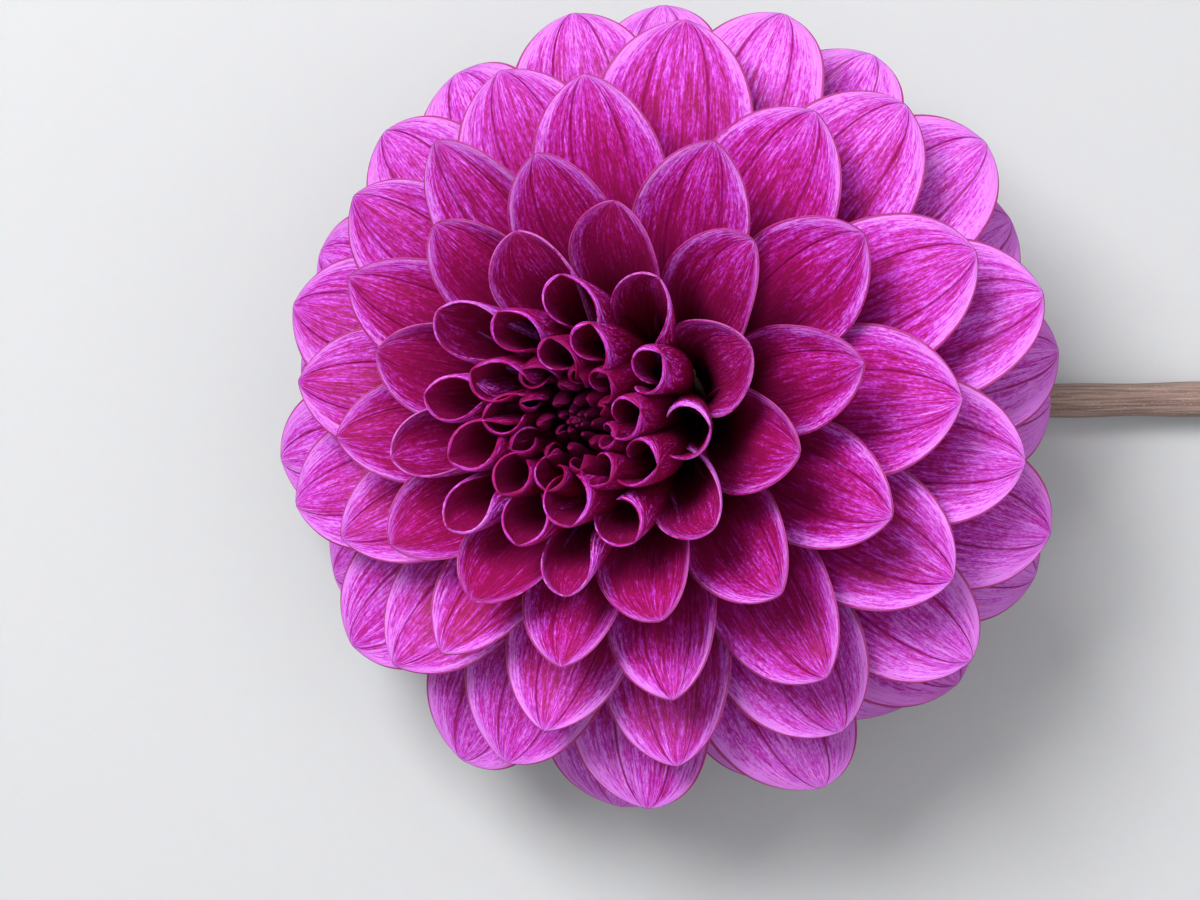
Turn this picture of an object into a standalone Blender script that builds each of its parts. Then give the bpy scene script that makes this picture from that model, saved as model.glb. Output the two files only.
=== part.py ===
"""A double dahlia flower cut with its stem, lying on its back florets and on the stem's cut end.

The head is modelled upright in a frame of its own, with its axis along +Z and z = 0 at its widest
level, and is then tilted and lifted to where it lies. Ray florets are numbered from the bud at the
centre outwards, and each one is turned from the one before by the divergence angle. The inner
florets stand in whorls joined at a collar round the receptacle, and the outer ones are separate."""

import math

import bmesh
import bpy
import numpy as np
from mathutils import Matrix, Vector

# Where the head lies, in metres and degrees.
HEAD_CENTRE = Vector((-0.0487, -0.0009, 0.0430))
HEAD_TILT = math.radians(18.0)  # the axis leans from +Z towards -X
SIDE_LEAN = math.radians(3.0)  # and towards -Y

# The spiral of florets.
FLORETS = 140
DIVERGENCE = math.radians(137.78)
FIRST_ANGLE = math.radians(203.6)

# The dome that the floret tips lie on, and its turn under the head. A tip's angle is measured at the
# head's centre, from the axis.
HEAD_RADIUS = 0.0570
DOME_HEIGHT = 0.0430
DOME_POWER = 2.3
CENTRE_DIP = 0.0127
DIP_RADIUS = 0.0085
LAST_ON_DOME = 100
LAST_DOME_ANGLE = math.radians(73.2)
TIP_POWER = 2.1
BACK_STEP = 0.0010
BACK_TURN = math.radians(1.75)

# The directions in which a floret leaves its seat and reaches its tip, in degrees above the horizontal.
FIRST_LEAVES, LEAVES_FALL, LEAVES_POWER = 90, 95, 1.2
FIRST_ARRIVES, ARRIVES_FALL, ARRIVES_POWER = 88, 97, 1.6
SPINE_REACH = 0.4

# The receptacle: a steep paraboloid over a short cone that meets the stem.
RECEPTACLE_RADIUS = 0.0115
RECEPTACLE_TOP = 0.008
RECEPTACLE_DEPTH = 0.028
RECEPTACLE_SHOULDER = (0.0092, -0.0225)
RECEPTACLE_FOOT = -0.0255
RECEPTACLE_FOOT_RADIUS = 0.0041
TURNED_STEPS = 24

# Florets.
BLADE_HALF_WIDTH = 0.0098
WIDTH_SCALE = 66.0
WIDTH_POWER = 3.0
TUBE_CURL = 0.86 * math.pi
BLADE_CURL = 0.42
CLAW_CURL = 0.4
CLAW_HALF_WIDTH = 0.0011
TUBES_UNTIL = 37
BLADES_FROM = 65
BUD_RADIUS = 0.00100
TUBE_WIDEST = 0.82
BLADE_WIDEST = 0.66
BLADE_BLUNT = 0.66
FLORET_THICKNESS = 0.00045
GAP = 0.0003
COLLAR_THICKNESS = 0.0010
JOINED_GRID = (5, 3)  # rows along a floret and faces across it
SEPARATE_GRID = (6, 3)

# Whorls of joined florets: the first floret of each, and of the separate ones after them. The
# seats of a whorl are drawn together, which leaves room between its collar and the next.
WHORL_STARTS = (1, 53, 69, 85)
FIRST_SEPARATE = 102
ROLLED_SHUT_UNTIL = 45
SEAT_SQUEEZE = 0.7

# Bracts. Each ring has a number, a start and an end in radius and height, the directions in which its
# bracts leave and arrive, a half width, a curl and a place round the axis as a share of the spacing.
INNER_BRACTS = 8
INNER_BRACT_ENDS = ((0.0104, -0.0221), (0.0290, -0.0268))
INNER_BRACT_SLOPES = (math.radians(-22), math.radians(-4))
INNER_BRACT_WIDTH, INNER_BRACT_CURL, INNER_BRACT_PLACE = 0.0052, 0.35, 0.3
OUTER_BRACTS = 5
OUTER_BRACT_ENDS = ((0.0062, -0.0250), (0.0205, -0.0335))
OUTER_BRACT_SLOPES = (math.radians(-35), math.radians(-15))
OUTER_BRACT_WIDTH, OUTER_BRACT_CURL, OUTER_BRACT_PLACE = 0.0036, 0.5, 0.5
BRACT_THICKNESS = 0.0006
BRACT_BASE_WIDTH = 0.45
BRACT_WIDEST = 0.5
BRACT_BLUNT = 0.7

# The stem.
STEM_RADIUS = 0.0027
NECK_DROP = 0.0045
NECK_BEND_RADIUS = 0.010
STEM_END_X = 0.1021
STEM_END_Y = 0.0022
STEM_FALL = math.radians(2.0)
NECK_STEPS = 6
STEM_SHARES = (0.1, 0.4, 0.7, 1.0)

GREEN = (0.16, 0.24, 0.06, 1.0)
PALE_GREEN = (0.42, 0.45, 0.20, 1.0)
STEM_BROWN = (0.36, 0.24, 0.18, 1.0)
CRIMSON = (0.16, 0.002, 0.06, 1.0)
MAGENTA = (0.42, 0.01, 0.22, 1.0)
ORCHID = (0.78, 0.14, 0.60, 1.0)


def smooth(low, high, value):
    """0 below low, 1 above high and an S-curve between them."""
    share = np.clip((value - low) / (high - low), 0.0, 1.0)
    return share * share * (3 - 2 * share)


def heading(elevation):
    """A unit step in the plane of radius and height, at an angle above the horizontal."""
    return np.array([math.cos(elevation), math.sin(elevation)])


# ---- places in the head's own frame -------------------------------------------------------------


def tip_place(number):
    """Radius and height of a floret's tip."""
    angle = LAST_DOME_ANGLE * (min(number, LAST_ON_DOME) / LAST_ON_DOME) ** TIP_POWER
    radius = HEAD_RADIUS * math.sin(angle)
    height = DOME_HEIGHT * (1 - (radius / HEAD_RADIUS) ** DOME_POWER)
    height -= CENTRE_DIP * math.exp(-((radius / DIP_RADIUS) ** 2))
    steep = DOME_POWER * DOME_HEIGHT / HEAD_RADIUS
    slope = math.atan(steep * (radius / HEAD_RADIUS) ** (DOME_POWER - 1))
    for _ in range(LAST_ON_DOME, int(number)):
        slope += BACK_TURN
        radius += BACK_STEP * math.cos(slope)
        height -= BACK_STEP * math.sin(slope)
    return np.array([radius, height])


def seat_place(number, lift):
    """Radius and height of the point that lies lift above the receptacle at a floret's seat."""
    share = number / FLORETS
    radius = RECEPTACLE_RADIUS * math.sqrt(share)
    height = RECEPTACLE_TOP - RECEPTACLE_DEPTH * share
    fall = 2 * RECEPTACLE_DEPTH * radius / RECEPTACLE_RADIUS**2
    normal = np.array([fall, 1.0]) / math.hypot(fall, 1.0)
    return np.array([radius, height]) + lift * normal


def even_curve(start, end, leaves, arrives, count):
    """Points evenly spaced along a cubic from start to end, and the unit tangent at each."""
    reach = SPINE_REACH * np.linalg.norm(end - start)
    hooks = [start, start + reach * heading(leaves), end - reach * heading(arrives), end]
    t = np.linspace(0, 1, 81)[:, None]
    blend = [(1 - t) ** 3, 3 * t * (1 - t) ** 2, 3 * t**2 * (1 - t), t**3]
    dense = sum(share * hook for share, hook in zip(blend, hooks))
    run = np.concatenate([[0], np.cumsum(np.linalg.norm(np.diff(dense, axis=0), axis=1))])
    at = np.linspace(0, run[-1], count)
    points = np.stack([np.interp(at, run, dense[:, k]) for k in (0, 1)], axis=1)
    tangents = np.gradient(points, axis=0)
    return points, tangents / np.linalg.norm(tangents, axis=1)[:, None]


def floret_spine(number, seat, lift, count):
    """The line along the middle of a floret, from its seat to its tip."""
    leaves = FIRST_LEAVES - LEAVES_FALL * (number / FLORETS) ** LEAVES_POWER
    arrives = FIRST_ARRIVES - ARRIVES_FALL * (number / LAST_ON_DOME) ** ARRIVES_POWER
    ends = math.radians(leaves), math.radians(arrives)
    return even_curve(seat_place(seat, lift), tip_place(number), *ends, count)


def outline(share, widest, blunt):
    """Half width along a blade, as a share of its widest: a claw, a swell and a pointed end."""
    rising = smooth(0.0, widest, share)
    falling = np.clip((share - widest) / (1 - widest), 0, 1)
    return rising * (1 - falling**2) ** blunt


def turned(angle):
    """The turn about the head's axis that takes +X to a floret's direction."""
    return Matrix.Rotation(angle, 4, "Z")


def in_place():
    """The tilt and lift that take the head's own frame to where the head lies."""
    tilt = Matrix.Rotation(-HEAD_TILT, 4, "Y") @ Matrix.Rotation(SIDE_LEAN, 4, "X")
    return Matrix.Translation(HEAD_CENTRE) @ tilt


# ---- meshes -------------------------------------------------------------------------------------


def rolled_sheet(points, tangents, half_widths, bends, across):
    """A grid bent along a line, each of its cross rows an arc of its own half length and radius."""
    rows = len(points)
    sheet = bmesh.new()
    bmesh.ops.create_grid(sheet, x_segments=across, y_segments=rows - 1, size=1.0)
    for vertex in sheet.verts:
        row = round((vertex.co.y + 1) / 2 * (rows - 1))
        turn = vertex.co.x * half_widths[row] / bends[row]
        side = bends[row] * math.sin(turn)
        rise = bends[row] * (1 - math.cos(turn))
        radius, height = points[row] + rise * np.array([-tangents[row][1], tangents[row][0]])
        vertex.co = (radius, side, height)
    bmesh.ops.remove_doubles(sheet, verts=sheet.verts, dist=2e-5)
    bmesh.ops.recalc_face_normals(sheet, faces=sheet.faces)
    return sheet


def finish_mesh(shape, name, angle=0.0):
    """Writes a bmesh in the head's frame to a mesh where the head lies, shaded smooth."""
    mesh = bpy.data.meshes.new(name)
    shape.to_mesh(mesh)
    shape.free()
    mesh.transform(in_place() @ turned(angle))
    mesh.shade_smooth()
    return mesh


def add_object(name, mesh, collection, material):
    made = bpy.data.objects.new(name, mesh)
    mesh.materials.append(material)
    collection.objects.link(made)
    return made


def thicken(sheet, thickness):
    """Gives a sheet its thickness, half on each side."""
    shell = sheet.modifiers.new("thickness", "SOLIDIFY")
    shell.thickness = thickness
    shell.offset = 0.0


def half_width(number):
    """Half the width of a floret where it is widest."""
    return BLADE_HALF_WIDTH * (1 - math.exp(-((number / WIDTH_SCALE) ** WIDTH_POWER)))


def floret_sheet(number, seat, lift, rows, across):
    """A ray floret's surface: a rolled tube near the centre, an open blade further out."""
    points, tangents = floret_spine(number, seat, lift, rows)
    share = np.linspace(0, 1, rows)
    opened = smooth(TUBES_UNTIL, BLADES_FROM, number)
    curl = TUBE_CURL + (BLADE_CURL - TUBE_CURL) * opened
    half = half_width(number)
    bend = half / math.sin(min(curl, math.pi / 2))
    widest = TUBE_WIDEST + (BLADE_WIDEST - TUBE_WIDEST) * opened
    swell = outline(share, widest, BLADE_BLUNT)
    claw_bend = CLAW_HALF_WIDTH / math.sin(CLAW_CURL)
    base = 1 - smooth(0.0, widest, share)
    half_widths = swell * bend * curl + base * claw_bend * CLAW_CURL
    bends = claw_bend * base + bend * (1 - base)
    return rolled_sheet(points, tangents, half_widths, bends, across)


def tube_solid(number, seat, lift):
    """A floret still rolled shut: a sphere drawn out along its spine, wider towards its mouth."""
    steps = 40
    points, _ = floret_spine(number, seat, lift, steps + 1)
    wide = max(BUD_RADIUS, half_width(number))
    tube = bmesh.new()
    bmesh.ops.create_uvsphere(tube, u_segments=5, v_segments=5, radius=1.0)
    for vertex in tube.verts:
        share = (1 + max(-1.0, min(1.0, vertex.co.z))) / 2
        radius, height = points[round(share * steps)]
        width = BUD_RADIUS + (wide - BUD_RADIUS) * share
        vertex.co = (radius + width * (vertex.co.x - share), width * vertex.co.y, height)
    return tube


def turned_solid(profile, steps):
    """A closed profile in radius and height, spun about the axis."""
    solid = bmesh.new()
    corners = [solid.verts.new((radius, 0.0, height)) for radius, height in profile]
    edges = [solid.edges.new(pair) for pair in zip(corners, corners[1:] + corners[:1])]
    turn = {"cent": (0, 0, 0), "axis": (0, 0, 1), "angle": math.tau, "steps": steps}
    bmesh.ops.spin(solid, geom=corners + edges, use_merge=True, **turn)
    bmesh.ops.remove_doubles(solid, verts=solid.verts, dist=1e-6)
    flat = [face for face in solid.faces if face.calc_area() < 1e-12]
    bmesh.ops.delete(solid, geom=flat, context="FACES_ONLY")
    on_axis = [edge for edge in solid.edges if not edge.link_faces]
    bmesh.ops.delete(solid, geom=on_axis, context="EDGES")
    bmesh.ops.recalc_face_normals(solid, faces=solid.faces)
    return solid


def collar_solid(first, last):
    """The collar that joins the claws of florets first to last, just above the receptacle."""
    seats = np.linspace(math.sqrt(first), math.sqrt(last), 6 if first == 0 else 3) ** 2
    low = [seat_place(number, GAP) for number in seats]
    high = [seat_place(number, GAP + COLLAR_THICKNESS) for number in seats]
    return turned_solid(low + high[::-1], TURNED_STEPS)


def receptacle_solid():
    """The steep dome that the florets stand on, and the short cone under it."""
    seats = np.linspace(0, math.sqrt(FLORETS), 9) ** 2
    side = [seat_place(number, 0.0) for number in seats]
    foot = [RECEPTACLE_SHOULDER, (RECEPTACLE_FOOT_RADIUS, RECEPTACLE_FOOT), (0.0, RECEPTACLE_FOOT)]
    return turned_solid(side + foot, TURNED_STEPS)


def bract_sheet(ends, slopes, wide, curl):
    """A bract's surface: a short leaf, broad at its base, curled along its length."""
    rows, across = 5, 2
    points, tangents = even_curve(*np.array(ends), *slopes, rows)
    share = np.linspace(0, 1, rows)
    base = BRACT_BASE_WIDTH * (1 - smooth(0, BRACT_WIDEST, share))
    half_widths = wide * (base + outline(share, BRACT_WIDEST, BRACT_BLUNT))
    bends = np.full(rows, wide / curl)
    return rolled_sheet(points, tangents, half_widths, bends, across)


# ---- the pieces ---------------------------------------------------------------------------------


def material(name, colour, roughness):
    made = bpy.data.materials.new(name)
    made.use_nodes = True
    surface = made.node_tree.nodes["Principled BSDF"]
    surface.inputs["Base Color"].default_value = colour
    surface.inputs["Roughness"].default_value = roughness
    surface.inputs["Metallic"].default_value = 0.0
    return made


def build_whorl(index, parts, joined, finish):
    """A collar and the florets on it, joined into one body."""
    first = WHORL_STARTS[index]
    last = (WHORL_STARTS + (FIRST_SEPARATE,))[index + 1] - 1
    middle = (first + last) / 2
    squeezed = [middle + SEAT_SQUEEZE * (number - middle) for number in (first, last)]
    members = bpy.data.collections.new(f"whorl_{index}_members")
    joined.children.link(members)
    members.hide_render = True
    lift = GAP + 0.8 * COLLAR_THICKNESS
    for number in range(first, last + 1):
        seat = middle + SEAT_SQUEEZE * (number - middle) if index else number
        rolled = number < ROLLED_SHUT_UNTIL
        sizes = (number, seat, lift)
        shape = tube_solid(*sizes) if rolled else floret_sheet(*sizes, *JOINED_GRID)
        mesh = finish_mesh(shape, f"joined_floret_{number:03}", FIRST_ANGLE + DIVERGENCE * number)
        member = add_object(mesh.name, mesh, members, finish)
        if not rolled:
            thicken(member, FLORET_THICKNESS)
        member.hide_render = True
        member.display_type = "WIRE"
    name = f"floret_whorl_{index}" if index else "centre_florets"
    low, high = squeezed if index else (0, last)
    whorl = add_object(name, finish_mesh(collar_solid(low, high), name), parts, finish)
    union = whorl.modifiers.new("florets", "BOOLEAN")
    union.operation = "UNION"
    union.solver = "EXACT"
    union.operand_type = "COLLECTION"
    union.collection = members


def build_separate_florets(parts, finish):
    for number in range(FIRST_SEPARATE, FLORETS + 1):
        sheet = floret_sheet(number, number, 2 * GAP, *SEPARATE_GRID)
        mesh = finish_mesh(sheet, f"ray_floret_{number:03}", FIRST_ANGLE + DIVERGENCE * number)
        thicken(add_object(mesh.name, mesh, parts, finish), FLORET_THICKNESS)


def build_bracts(parts, green, pale):
    """The two rings of bracts under the florets."""
    for index in range(INNER_BRACTS):
        angle = math.tau * (index + INNER_BRACT_PLACE) / INNER_BRACTS
        shape = INNER_BRACT_ENDS, INNER_BRACT_SLOPES, INNER_BRACT_WIDTH, INNER_BRACT_CURL
        mesh = finish_mesh(bract_sheet(*shape), f"inner_bract_{index + 1}", angle)
        thicken(add_object(mesh.name, mesh, parts, pale), BRACT_THICKNESS)
    for index in range(OUTER_BRACTS):
        angle = math.tau * (index + OUTER_BRACT_PLACE) / OUTER_BRACTS
        shape = OUTER_BRACT_ENDS, OUTER_BRACT_SLOPES, OUTER_BRACT_WIDTH, OUTER_BRACT_CURL
        mesh = finish_mesh(bract_sheet(*shape), f"outer_bract_{index + 1}", angle)
        thicken(add_object(mesh.name, mesh, parts, green), BRACT_THICKNESS)


def stem_line():
    """Centre line of the stem: down the head's axis, round the neck and along to its cut end."""
    down = -in_place().col[2].to_3d()
    top = HEAD_CENTRE + (-RECEPTACLE_FOOT + GAP) * down
    bend_start = top + NECK_DROP * down
    end = Vector((STEM_END_X, STEM_END_Y, STEM_RADIUS))
    first = math.atan2(down.z, down.x)
    line = [top]
    for step in range(NECK_STEPS + 1):
        angle = first + (-STEM_FALL - first) * step / NECK_STEPS
        side = NECK_BEND_RADIUS * (math.sin(angle) - math.sin(first))
        drop = NECK_BEND_RADIUS * (math.cos(first) - math.cos(angle))
        line.append(bend_start + Vector((side, 0.0, drop)))
    line += [line[-1].lerp(end, share) for share in STEM_SHARES]
    return line


def build_stem(parts, finish):
    curve = bpy.data.curves.new("stem", "CURVE")
    curve.dimensions = "3D"
    curve.bevel_depth = STEM_RADIUS
    curve.bevel_resolution = 2
    curve.use_fill_caps = True
    line = stem_line()
    spline = curve.splines.new("POLY")
    spline.points.add(len(line) - 1)
    for point, place in zip(spline.points, line):
        point.co = (*place, 1.0)
    add_object("stem", curve, parts, finish)


def main():
    for old in list(bpy.data.objects):
        bpy.data.objects.remove(old)
    parts = bpy.data.collections.new("dahlia_flower")
    joined = bpy.data.collections.new("joined_florets")
    joined.hide_render = True
    bpy.context.scene.collection.children.link(parts)
    bpy.context.scene.collection.children.link(joined)
    green = material("bract_green", GREEN, 0.6)
    pale = material("bract_pale_green", PALE_GREEN, 0.6)
    inner = material("floret_crimson", CRIMSON, 0.5)
    middle = material("floret_magenta", MAGENTA, 0.5)
    outer = material("floret_orchid", ORCHID, 0.5)
    add_object("receptacle", finish_mesh(receptacle_solid(), "receptacle"), parts, pale)
    for index in range(len(WHORL_STARTS)):
        build_whorl(index, parts, joined, inner if index < 2 else middle)
    build_separate_florets(parts, outer)
    build_bracts(parts, green, pale)
    build_stem(parts, material("stem_brown", STEM_BROWN, 0.55))


main()
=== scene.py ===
"""The looks of a double dahlia bloom that lies on its back florets and on its cut stem.

The head is shaped upright in a frame of its own, with its axis along +Z and z = 0 at its widest
level, and each piece is then carried to where the tilted head lies. Sizes are in metres, and florets
are numbered from the bud at the centre outwards."""

import logging
import math
from collections.abc import Callable, Iterable
from dataclasses import dataclass, field
from enum import Enum

import bpy
import numpy as np
from mathutils import Matrix, Vector


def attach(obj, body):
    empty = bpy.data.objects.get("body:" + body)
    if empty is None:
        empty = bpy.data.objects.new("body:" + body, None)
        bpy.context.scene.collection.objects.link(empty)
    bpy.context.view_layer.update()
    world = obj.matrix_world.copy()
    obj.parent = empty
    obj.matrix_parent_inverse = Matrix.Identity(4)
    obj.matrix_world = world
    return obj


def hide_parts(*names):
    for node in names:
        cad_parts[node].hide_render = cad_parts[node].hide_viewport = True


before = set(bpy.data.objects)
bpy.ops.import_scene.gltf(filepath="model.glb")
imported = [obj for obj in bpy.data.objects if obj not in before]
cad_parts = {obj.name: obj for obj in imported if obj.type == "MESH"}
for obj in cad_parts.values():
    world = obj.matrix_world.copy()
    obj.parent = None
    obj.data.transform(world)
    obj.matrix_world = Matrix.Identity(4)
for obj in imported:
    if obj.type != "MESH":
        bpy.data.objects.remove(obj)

LOG = logging.getLogger("dahlia")
BODY = "root"
Colour = tuple[float, float, float]  # also a place and a stretch, one number for each axis
Range = tuple[float, float]
Array = np.ndarray
MILLIMETRE = 0.001
SPECULAR = 0.15
INNER_GLOW = 0.3
INNER_GLOW_DEPTH = 0.0015
MIX_COLOURS = (6, 7)  # the Mix node's colour sockets
MIX_RESULT = 2
SHARP = math.radians(50)
NEARLY_ONE = 0.99
FULL_WAVE = 6.28  # the rims' waves start anywhere from 0 to this, in radians
OPENING = (46, 80)  # the florets between which the tubes open into blades


def smooth(low: float, high: float, value: float | Array) -> float | Array:
    """An S-curve from 0 at low to 1 at high.

    Args:
        low: Where the curve leaves 0.
        high: Where it reaches 1.
        value: One number or an array of them.

    Returns:
        The share, of the same form as value.
    """
    share = np.clip((value - low) / (high - low), 0.0, 1.0)
    return share * share * (3 - 2 * share)


# ---- finishes ----


class Wire:
    """A shader socket that takes arithmetic, each operation adding its Math node."""

    def __init__(self, nodes: "NodeBench", socket: bpy.types.NodeSocket) -> None:
        """Holds the socket and the bench that adds nodes beside it."""
        self.nodes = nodes
        self.socket = socket

    def __add__(self, other: "Wire | float") -> "Wire":
        """The sum."""
        return self.nodes.math("ADD", self, other)

    __radd__ = __add__

    def __sub__(self, other: "Wire | float") -> "Wire":
        """The difference."""
        return self.nodes.math("SUBTRACT", self, other)

    def __rsub__(self, other: float) -> "Wire":
        """A number less this value."""
        return self.nodes.math("SUBTRACT", other, self)

    def __mul__(self, other: "Wire | float") -> "Wire":
        """The product."""
        return self.nodes.math("MULTIPLY", self, other)

    __rmul__ = __mul__

    def __truediv__(self, other: "Wire | float") -> "Wire":
        """The quotient."""
        return self.nodes.math("DIVIDE", self, other)

    def __pow__(self, power: float) -> "Wire":
        """This value raised to a power."""
        return self.nodes.math("POWER", self, power)

    def __abs__(self) -> "Wire":
        """This value without its sign."""
        return self.nodes.math("ABSOLUTE", self)

    def between(self, low: float, high: float) -> "Wire":
        """An S-curve from 0 at low to 1 at high."""
        limits = {"Value": self, "From Min": low, "From Max": high}
        node = self.nodes.add("ShaderNodeMapRange", {"interpolation_type": "SMOOTHSTEP"}, limits)
        return Wire(self.nodes, node.outputs["Result"])

    def clamped(self) -> "Wire":
        """This value kept from 0 to 1."""
        return self.nodes.math("MINIMUM", self.nodes.math("MAXIMUM", self, 0.0), 1.0)


class NodeBench:
    """A material's node tree, with one method that adds a node of any kind."""

    def __init__(self, name: str, roughness: float, sheen: float = 0.0) -> None:
        """Makes the material and sets what is the same all over it."""
        self.material = bpy.data.materials.new(name)
        self.material.use_nodes = True
        self.tree = self.material.node_tree
        self.surface = self.tree.nodes["Principled BSDF"]
        self.surface.inputs["Roughness"].default_value = roughness
        self.surface.inputs["Sheen Weight"].default_value = sheen
        self.surface.inputs["Specular IOR Level"].default_value = SPECULAR
        self.surface.inputs["Subsurface Weight"].default_value = INNER_GLOW
        self.surface.inputs["Subsurface Scale"].default_value = INNER_GLOW_DEPTH

    def add(self, kind: str, settings: dict, inputs: dict) -> bpy.types.Node:
        """Adds a node.

        Args:
            kind: The node's type.
            settings: Its own settings, set before its sockets.
            inputs: Values, sockets or wires by socket name or index.

        Returns:
            The node.
        """
        node = self.tree.nodes.new(kind)
        for key, value in settings.items():
            setattr(node, key, value)
        for key, value in inputs.items():
            if isinstance(value, Wire):
                value = value.socket
            if isinstance(value, bpy.types.NodeSocket):
                self.tree.links.new(value, node.inputs[key])
            else:
                node.inputs[key].default_value = value
        return node

    def math(self, operation: str, *values: Wire | float) -> Wire:
        """A Math node on the values in order."""
        node = self.add("ShaderNodeMath", {"operation": operation}, dict(enumerate(values)))
        return Wire(self, node.outputs[0])

    def attribute(self, name: str) -> Wire:
        """A number that the mesh holds under a name."""
        node = self.add("ShaderNodeAttribute", {"attribute_name": name}, {})
        return Wire(self, node.outputs["Fac"])

    def noise(self, name: str, stretch: Colour, detail: float, rough: float = 0.5) -> Wire:
        """Noise along a vector that the mesh holds.

        Args:
            name: The vector's name.
            stretch: How fine the noise is along each axis.
            detail: How many finer layers it has.
            rough: How strong they are.

        Returns:
            Values from 0 to 1, about 0.5.
        """
        source = self.add("ShaderNodeAttribute", {"attribute_name": name}, {})
        scaled = self.add(
            "ShaderNodeVectorMath",
            {"operation": "MULTIPLY"},
            {0: source.outputs["Vector"], 1: stretch},
        )
        inputs = {"Vector": scaled.outputs[0], "Scale": 1.0, "Detail": detail, "Roughness": rough}
        node = self.add("ShaderNodeTexNoise", {}, inputs)
        return Wire(self, node.outputs["Fac"])

    def mix(self, share: Wire | float, first: Wire | Colour, second: Wire | Colour) -> Wire:
        """A colour between two others.

        Args:
            share: 0 for the first, 1 for the second.
            first: The colour mixed into.
            second: The colour mixed in.

        Returns:
            The mixture.
        """
        inputs = {0: share}
        for key, colour in zip(MIX_COLOURS, (first, second)):
            inputs[key] = colour if isinstance(colour, Wire) else (*colour, 1.0)
        node = self.add("ShaderNodeMix", {"data_type": "RGBA"}, inputs)
        return Wire(self, node.outputs[MIX_RESULT])

    def finish(self, colour: Wire, height: Wire | None = None, depth: float = 0.0) -> None:
        """Joins a colour, and a height that roughens the surface, to the shader."""
        self.tree.links.new(colour.socket, self.surface.inputs["Base Color"])
        if height is not None:
            bump = self.add("ShaderNodeBump", {}, {"Height": height, "Distance": depth})
            self.tree.links.new(bump.outputs["Normal"], self.surface.inputs["Normal"])


class Side(Enum):
    """Which side of a floret a finish is for."""

    FACE = "face"
    BACK = "back"


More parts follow.
